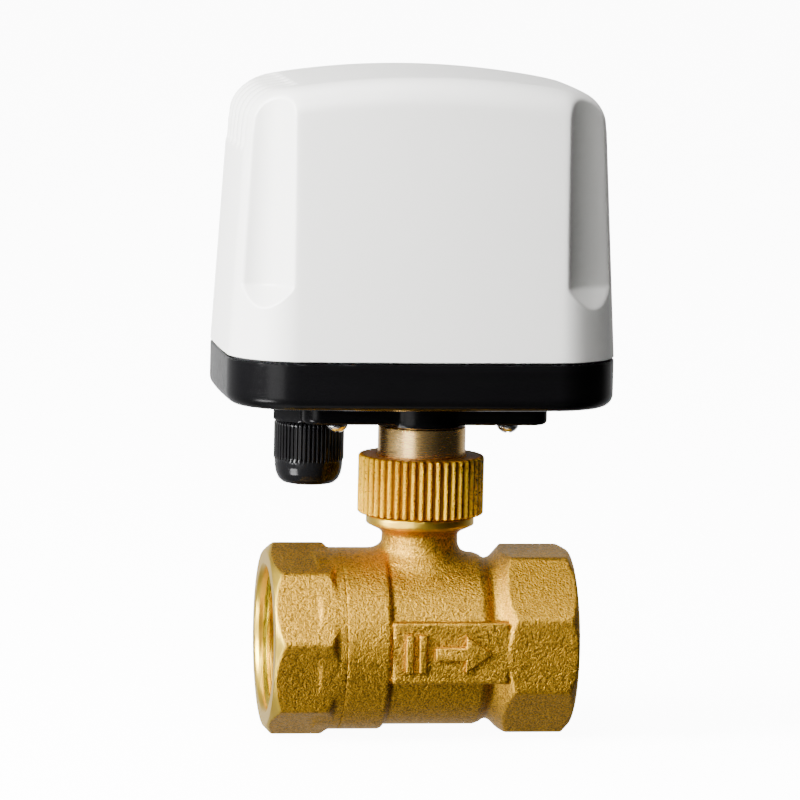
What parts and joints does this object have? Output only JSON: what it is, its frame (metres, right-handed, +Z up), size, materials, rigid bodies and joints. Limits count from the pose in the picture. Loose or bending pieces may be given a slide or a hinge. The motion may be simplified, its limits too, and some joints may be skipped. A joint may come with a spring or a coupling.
{
  "type": "motorized valve actuator",
  "caption": "Brass ball valve turned by a plastic-housed electric quarter-turn actuator, clamped on its neck by a knurled union nut, with a cable gland below.",
  "frame": {"origin": "centre of the ball, where the flow axis meets the stem axis", "axes": "+X along the pipe from the inlet end cap to the outlet, +Z up the stem to the actuator, -Y towards the front with the flat pad"},
  "size_m": [0.0892, 0.0618, 0.1526],
  "materials": {
    "ball": "polished and plated",
    "base": "moulded black, semi-matt",
    "base_screw_front_left": "zinc plated",
    "base_screw_front_right": "zinc plated",
    "base_screw_rear_left": "zinc plated",
    "base_screw_rear_right": "zinc plated",
    "board_spacer_1": "moulded",
    "board_spacer_2": "moulded",
    "board_spacer_3": "moulded",
    "board_spacer_4": "moulded",
    "cam_closed": "moulded",
    "cam_open": "moulded",
    "circuit_board": "green solder-masked laminate",
    "cover": "smooth moulded, slightly glossy white",
    "cover_gasket": "moulded rubber",
    "cover_screw_front_left": "zinc plated",
    "cover_screw_front_right": "zinc plated",
    "cover_screw_rear_left": "zinc plated",
    "cover_screw_rear_right": "zinc plated",
    "end_cap": "sand-blasted forging, machined at the faces and bores",
    "gear_axle": "zinc plated",
    "gear_plate_lower": "zinc plated",
    "gear_plate_upper": "zinc plated",
    "gland_body": "moulded black, semi-matt",
    "gland_dome_nut": "moulded black, semi-matt",
    "gland_locknut": "moulded black, semi-matt",
    "gland_seal": "moulded rubber",
    "intermediate_gear": "turned",
    "limit_switch_closed": "moulded",
    "limit_switch_open": "moulded",
    "motor_can": "zinc plated",
    "motor_capacitor": "sleeved can",
    "motor_pinion": "zinc plated",
    "mounting_sleeve": "turned",
    "output_gear": "zinc plated",
    "output_shaft": "zinc plated",
    "plate_spacer_1": "zinc plated",
    "plate_spacer_2": "zinc plated",
    "plate_spacer_3": "zinc plated",
    "plate_spacer_4": "zinc plated",
    "relay": "moulded case",
    "seat_ring_inlet": "fluoropolymer, waxy white",
    "seat_ring_outlet": "fluoropolymer, waxy white",
    "stem_oring_lower": "moulded rubber",
    "stem_oring_upper": "moulded rubber",
    "stem_thrust_washer": "fluoropolymer, waxy white",
    "switch_bracket": "zinc plated",
    "switch_plunger_closed": "moulded",
    "switch_plunger_open": "moulded",
    "terminal_block": "moulded",
    "union_nut": "knurled, grainy golden brass",
    "valve_body": "sand-blasted forging, machined at the faces and bores",
    "valve_stem": "turned"
  },
  "bodies": {
    "valve": {"base": "base", "base_screw_front_left": "base_screw_front_left", "base_screw_front_right": "base_screw_front_right", "base_screw_rear_left": "base_screw_rear_left", "base_screw_rear_right": "base_screw_rear_right", "board_spacer_1": "board_spacer_1", "board_spacer_2": "board_spacer_2", "board_spacer_3": "board_spacer_3", "board_spacer_4": "board_spacer_4", "circuit_board": "circuit_board", "cover": "cover", "cover_gasket": "cover_gasket", "cover_screw_front_left": "cover_screw_front_left", "cover_screw_front_right": "cover_screw_front_right", "cover_screw_rear_left": "cover_screw_rear_left", "cover_screw_rear_right": "cover_screw_rear_right", "end_cap": "end_cap", "gear_axle": "gear_axle", "gear_plate_lower": "gear_plate_lower", "gear_plate_upper": "gear_plate_upper", "gland_body": "gland_body", "gland_locknut": "gland_locknut", "gland_seal": "gland_seal", "limit_switch_closed": "limit_switch_closed", "limit_switch_open": "limit_switch_open", "motor_can": "motor_can", "motor_capacitor": "motor_capacitor", "mounting_sleeve": "mounting_sleeve", "plate_spacer_1": "plate_spacer_1", "plate_spacer_2": "plate_spacer_2", "plate_spacer_3": "plate_spacer_3", "plate_spacer_4": "plate_spacer_4", "relay": "relay", "seat_ring_inlet": "seat_ring_inlet", "seat_ring_outlet": "seat_ring_outlet", "stem_thrust_washer": "stem_thrust_washer", "switch_bracket": "switch_bracket", "terminal_block": "terminal_block", "valve_body": "valve_body"},
    "output": {"output_shaft": "output_shaft", "output_gear": "output_gear", "cam_open": "cam_open", "cam_closed": "cam_closed"},
    "stem": {"valve_stem": "valve_stem", "stem_oring_lower": "stem_oring_lower", "stem_oring_upper": "stem_oring_upper"},
    "ball": {"ball": "ball"},
    "intermediate": {"intermediate_gear": "intermediate_gear"},
    "motor_rotor": {"motor_pinion": "motor_pinion"},
    "union_nut": {"union_nut": "union_nut"},
    "gland_nut": {"gland_dome_nut": "gland_dome_nut"},
    "plunger_open": {"switch_plunger_open": "switch_plunger_open"},
    "plunger_closed": {"switch_plunger_closed": "switch_plunger_closed"}
  },
  "joints": [
    {"name": "output_turn", "type": "hinge", "parent": "valve", "child": "output", "pos_m": [0, 0, 0.06], "axis": [0, 0, 1], "range_deg": [0, 90]},
    {"name": "stem_turn", "type": "hinge", "parent": "valve", "child": "stem", "pos_m": [0, 0, 0.03], "axis": [0, 0, 1], "range_deg": [0, 90]},
    {"name": "ball_turn", "type": "hinge", "parent": "valve", "child": "ball", "pos_m": [0, 0, 0], "axis": [0, 0, 1], "range_deg": [0, 90]},
    {"name": "intermediate_turn", "type": "hinge", "parent": "valve", "child": "intermediate", "pos_m": [-0.01653, -0.00887, 0.07], "axis": [0, 0, 1], "range_deg": [-360, 0]},
    {"name": "motor_turn", "type": "hinge", "parent": "valve", "child": "motor_rotor", "pos_m": [-0.024, 0.005, 0.075], "axis": [0, 0, 1], "range_deg": [0, 1152]},
    {"name": "union_nut_turn", "type": "hinge", "parent": "valve", "child": "union_nut", "pos_m": [0, 0, 0.0358], "axis": [0, 0, 1], "continuous": true},
    {"name": "gland_nut_turn", "type": "hinge", "parent": "valve", "child": "gland_nut", "pos_m": [-0.0248, 0.009, 0.042], "axis": [0, 0, 1], "continuous": true},
    {"name": "plunger_open_travel", "type": "slide", "parent": "valve", "child": "plunger_open", "axis": [1, 0, 0], "range_m": [0, 0.0006], "stiffness_N_per_m": 800, "springref_m": -0.0006},
    {"name": "plunger_closed_travel", "type": "slide", "parent": "valve", "child": "plunger_closed", "axis": [1, 0, 0], "range_m": [0, 0.0006], "stiffness_N_per_m": 800, "springref_m": -0.0006}
  ],
  "couplings": [
    {"joint": "stem_turn", "follows": "output_turn", "ratio": 1},
    {"joint": "ball_turn", "follows": "output_turn", "ratio": 1},
    {"joint": "intermediate_turn", "follows": "output_turn", "ratio": -4},
    {"joint": "motor_turn", "follows": "output_turn", "ratio": 12.8}
  ]
}
